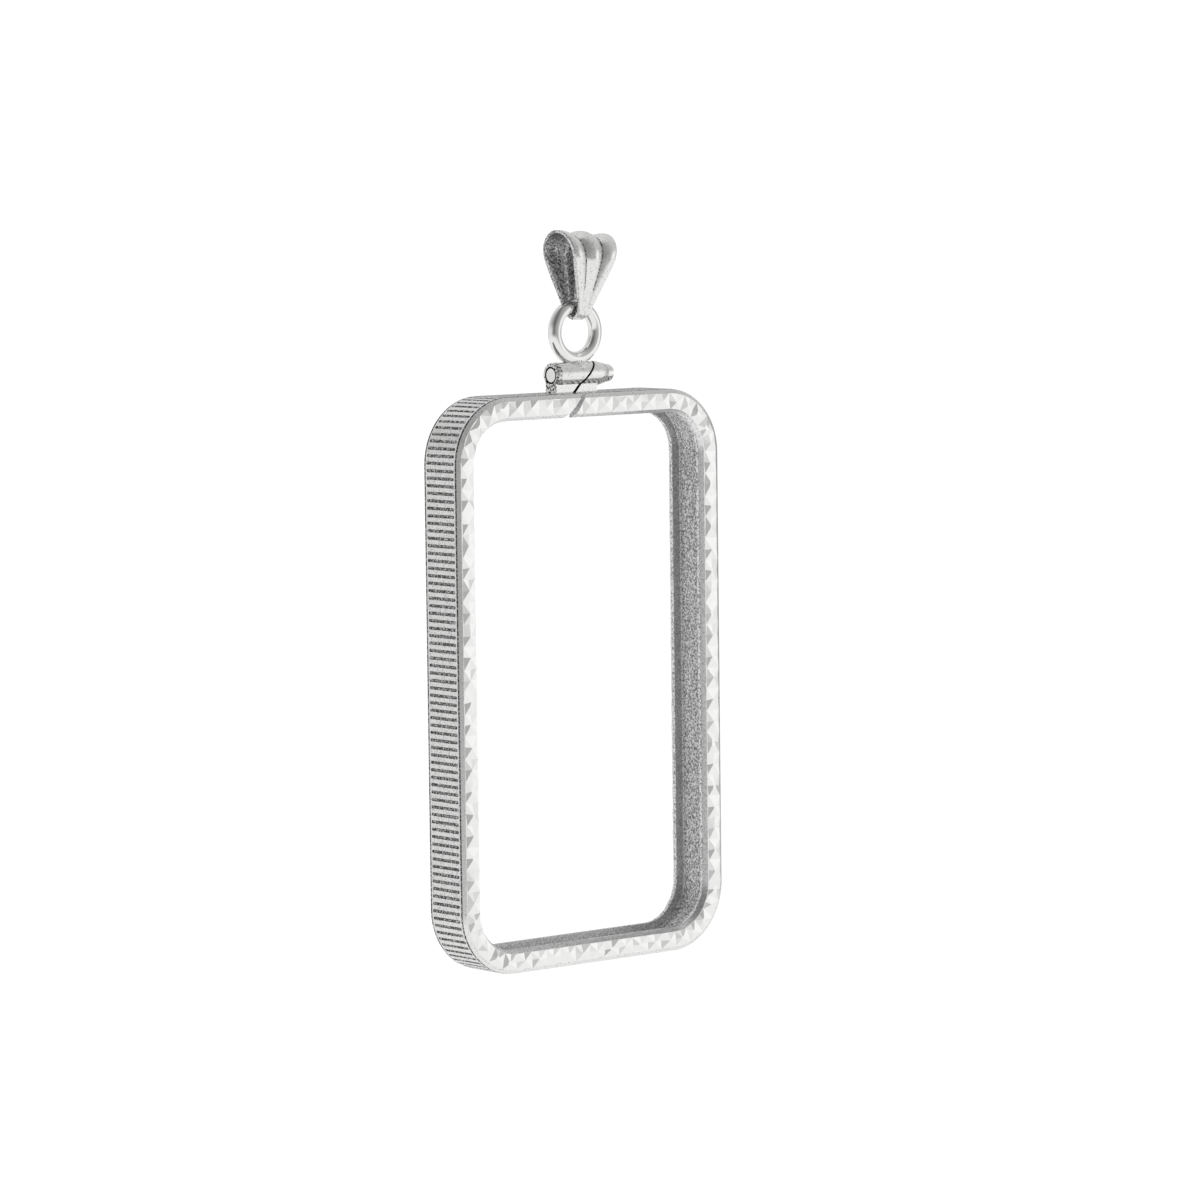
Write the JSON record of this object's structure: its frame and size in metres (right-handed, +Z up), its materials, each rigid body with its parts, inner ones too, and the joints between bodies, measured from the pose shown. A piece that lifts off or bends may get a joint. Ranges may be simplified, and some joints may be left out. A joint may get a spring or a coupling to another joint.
{
  "type": "rectangular coin-edge bar bezel",
  "caption": "Upright rectangular bezel for a small minted bar, with reeded edge, faceted lips, screw closure at the top, soldered ring and fluted tapered bail.",
  "frame": {"origin": "chain seat: the middle of the inner ridges at the top of the bail, where a chain carries the pendant", "axes": "+X to the right along the closure's screw as seen from the front, +Y from the front face to the back, +Z up"},
  "size_m": [0.0254, 0.0042, 0.0545],
  "materials": {
    "frame_silver": "polished sterling silver",
    "screw_silver": "polished sterling silver",
    "bail_silver": "polished sterling silver"
  },
  "bodies": {
    "bail": {"bail": "bail_silver"},
    "bezel": {"bezel_frame": "frame_silver"},
    "screw": {"closure_screw": "screw_silver"}
  },
  "joints": [
    {"name": "pendant_swing", "type": "hinge", "parent": "bail", "child": "bezel", "pos_m": [-0.0004, 0, -0.00494], "axis": [1, 0, 0], "range_deg": [-60, 60]},
    {"name": "screw_out", "type": "slide", "parent": "bezel", "child": "screw", "axis": [1, 0, 0], "range_m": [0, 0.006]}
  ]
}
